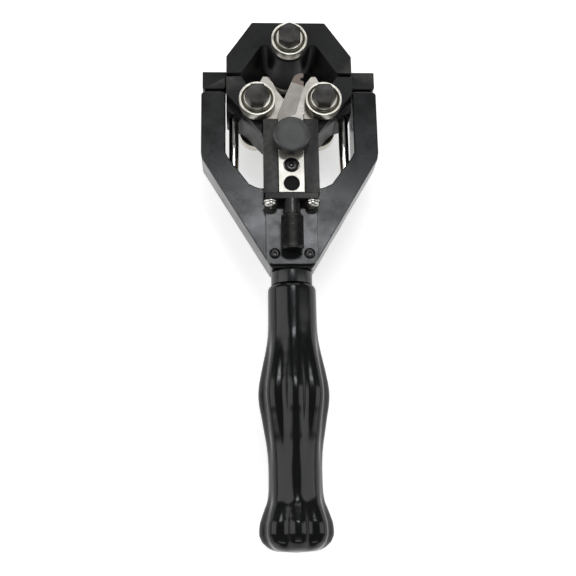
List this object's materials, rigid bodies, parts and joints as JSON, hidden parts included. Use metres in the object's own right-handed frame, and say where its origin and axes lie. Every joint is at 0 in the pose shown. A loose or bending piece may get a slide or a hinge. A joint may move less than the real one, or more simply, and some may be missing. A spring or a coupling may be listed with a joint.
{
  "type": "rotary cable stripper",
  "caption": "Forked hand tool: ball-bearing rollers close on a cable by a screw-driven jaw, a depth-set blade cuts the insulation, and a fluted twist handle drives the screw.",
  "frame": {"origin": "middle of the tool seen from the front, at the level of the back ends of the axle bolts on which the head rests when it lies down", "axes": "+Y along the tool from the grip to the head, +X across the head, +Z out of the front face with the bolt heads and knobs"},
  "size_m": [0.1084, 0.3194, 0.0688],
  "materials": {
    "black_body": "satin black coating",
    "black_cover": "semi-gloss black coating",
    "black_grip": "glossy black moulded grip",
    "bright_steel": "ground and polished",
    "satin_steel": "satin",
    "blade_steel": "ground",
    "dark_steel": "blackened",
    "knob_steel": "dark turned",
    "bronze": "machined"
  },
  "bodies": {
    "frame": {"yoke_frame": "black_body", "hub_cover": "black_cover", "upper_jaw": "black_body", "cover_screw_left": "dark_steel", "cover_screw_right": "dark_steel", "ear_screw_left": "dark_steel", "ear_screw_right": "dark_steel", "guide_rod_left": "bright_steel", "guide_rod_right": "bright_steel", "upper_axle_bolt": "dark_steel", "upper_axle_nut": "dark_steel", "upper_front_inner_race": "bright_steel", "upper_back_inner_race": "bright_steel", "upper_front_spacer": "satin_steel", "upper_back_spacer": "satin_steel", "upper_washer": "satin_steel"},
    "carriage": {"lower_jaw": "black_body", "guide_plate": "satin_steel", "blade_channel": "black_body", "end_plate": "black_body", "lead_nut": "bronze", "end_plate_screw_left": "bright_steel", "end_plate_screw_right": "bright_steel", "end_plate_washer_left": "satin_steel", "end_plate_washer_right": "satin_steel", "lower_left_axle_bolt": "dark_steel", "lower_left_axle_nut": "dark_steel", "lower_left_front_inner_race": "bright_steel", "lower_left_back_inner_race": "bright_steel", "lower_left_front_spacer": "satin_steel", "lower_left_back_spacer": "satin_steel", "lower_left_washer": "satin_steel", "lower_right_axle_bolt": "dark_steel", "lower_right_axle_nut": "dark_steel", "lower_right_front_inner_race": "bright_steel", "lower_right_back_inner_race": "bright_steel", "lower_right_front_spacer": "satin_steel", "lower_right_back_spacer": "satin_steel", "lower_right_washer": "satin_steel"},
    "handle": {"grip": "black_grip", "neck_sleeve": "black_body", "lead_screw": "satin_steel", "lock_collar": "dark_steel"},
    "blade_slider": {"blade_bar": "satin_steel", "cutter_blade": "blade_steel", "bar_screw": "dark_steel"},
    "clamp": {"clamp_knob": "knob_steel"},
    "depth_setter": {"depth_knob": "knob_steel", "depth_screw": "satin_steel"},
    "upper_front_roller_ring": {"upper_front_roller": "bright_steel"},
    "upper_back_roller_ring": {"upper_back_roller": "bright_steel"},
    "lower_left_front_roller_ring": {"lower_left_front_roller": "bright_steel"},
    "lower_left_back_roller_ring": {"lower_left_back_roller": "bright_steel"},
    "lower_right_front_roller_ring": {"lower_right_front_roller": "bright_steel"},
    "lower_right_back_roller_ring": {"lower_right_back_roller": "bright_steel"}
  },
  "joints": [
    {"name": "handle_turn", "type": "hinge", "parent": "frame", "child": "handle", "pos_m": [0, -0.0071, 0.0352], "axis": [0, 1, 0], "range_deg": [-240, 1800]},
    {"name": "jaw_slide", "type": "slide", "parent": "frame", "child": "carriage", "axis": [0, -1, 0], "range_m": [-0.002, 0.015]},
    {"name": "depth_turn", "type": "hinge", "parent": "carriage", "child": "depth_setter", "pos_m": [0, 0.0229, 0.0556], "axis": [0, -1, 0], "range_deg": [0, 2160]},
    {"name": "blade_feed", "type": "slide", "parent": "carriage", "child": "blade_slider", "axis": [0, 1, 0], "range_m": [0, 0.006]},
    {"name": "clamp_turn", "type": "hinge", "parent": "blade_slider", "child": "clamp", "pos_m": [0, 0.0781, 0.0642], "axis": [0, 0, 1], "range_deg": [0, 360]},
    {"name": "upper_front_roller_spin", "type": "hinge", "parent": "frame", "child": "upper_front_roller_ring", "pos_m": [0, 0.1437, 0.0587], "axis": [0, 0, 1], "continuous": true},
    {"name": "upper_back_roller_spin", "type": "hinge", "parent": "frame", "child": "upper_back_roller_ring", "pos_m": [0, 0.1437, 0.0117], "axis": [0, 0, 1], "continuous": true},
    {"name": "lower_left_front_roller_spin", "type": "hinge", "parent": "carriage", "child": "lower_left_front_roller_ring", "pos_m": [-0.02, 0.1036, 0.0587], "axis": [0, 0, 1], "continuous": true},
    {"name": "lower_left_back_roller_spin", "type": "hinge", "parent": "carriage", "child": "lower_left_back_roller_ring", "pos_m": [-0.02, 0.1036, 0.0117], "axis": [0, 0, 1], "continuous": true},
    {"name": "lower_right_front_roller_spin", "type": "hinge", "parent": "carriage", "child": "lower_right_front_roller_ring", "pos_m": [0.02, 0.1036, 0.0587], "axis": [0, 0, 1], "continuous": true},
    {"name": "lower_right_back_roller_spin", "type": "hinge", "parent": "carriage", "child": "lower_right_back_roller_ring", "pos_m": [0.02, 0.1036, 0.0117], "axis": [0, 0, 1], "continuous": true}
  ],
  "couplings": [
    {"joint": "handle_turn", "follows": "jaw_slide", "rad_per_m": 2094.4},
    {"joint": "depth_turn", "follows": "blade_feed", "rad_per_m": 6283.2}
  ]
}
